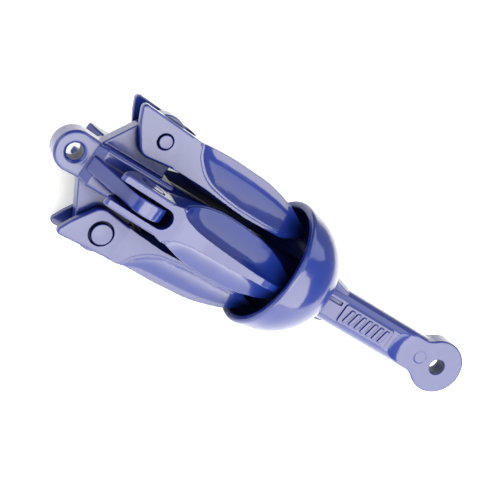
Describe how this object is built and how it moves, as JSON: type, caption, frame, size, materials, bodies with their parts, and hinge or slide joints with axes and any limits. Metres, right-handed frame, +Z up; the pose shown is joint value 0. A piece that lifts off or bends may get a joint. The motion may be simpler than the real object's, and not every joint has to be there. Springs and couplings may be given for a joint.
{
  "type": "folding grapnel anchor",
  "caption": "Small folding grapnel anchor with pinned flukes on a cast crown, a sliding bell-shaped lock collar and an eye at each end.",
  "frame": {"origin": "centre of the bounding box's base, on the floor that the folded anchor lies on", "axes": "+X along the shank from the crown eye to the shank eye, +Z up, flukes at 45 degrees to the floor"},
  "size_m": [0.242, 0.0636, 0.0636],
  "materials": {
    "painted_metal": "glossy translucent blue over metal",
    "pin_metal": "glossy translucent blue over metal"
  },
  "bodies": {
    "shank": {"shank": "painted_metal", "crown": "painted_metal", "crown_lock_pin": "pin_metal", "fluke_pin_1": "pin_metal", "fluke_pin_2": "pin_metal", "fluke_pin_3": "pin_metal", "fluke_pin_4": "pin_metal"},
    "collar": {"collar": "painted_metal"},
    "fluke_1": {"fluke_1": "painted_metal"},
    "fluke_2": {"fluke_2": "painted_metal"},
    "fluke_3": {"fluke_3": "painted_metal"},
    "fluke_4": {"fluke_4": "painted_metal"}
  },
  "joints": [
    {"name": "collar_slide", "type": "slide", "parent": "shank", "child": "collar", "axis": [1, 0, 0], "range_m": [0, 0.056]},
    {"name": "fluke_1_hinge", "type": "hinge", "parent": "shank", "child": "fluke_1", "pos_m": [-0.0804, -0.01771, 0.04951], "axis": [0, -0.7071, -0.7071], "range_deg": [0, 70]},
    {"name": "fluke_2_hinge", "type": "hinge", "parent": "shank", "child": "fluke_2", "pos_m": [-0.0804, 0.01771, 0.04951], "axis": [0, -0.7071, 0.7071], "range_deg": [0, 70]},
    {"name": "fluke_3_hinge", "type": "hinge", "parent": "shank", "child": "fluke_3", "pos_m": [-0.0804, 0.01771, 0.01409], "axis": [0, 0.7071, 0.7071], "range_deg": [0, 70]},
    {"name": "fluke_4_hinge", "type": "hinge", "parent": "shank", "child": "fluke_4", "pos_m": [-0.0804, -0.01771, 0.01409], "axis": [0, 0.7071, -0.7071], "range_deg": [0, 70]}
  ]
}
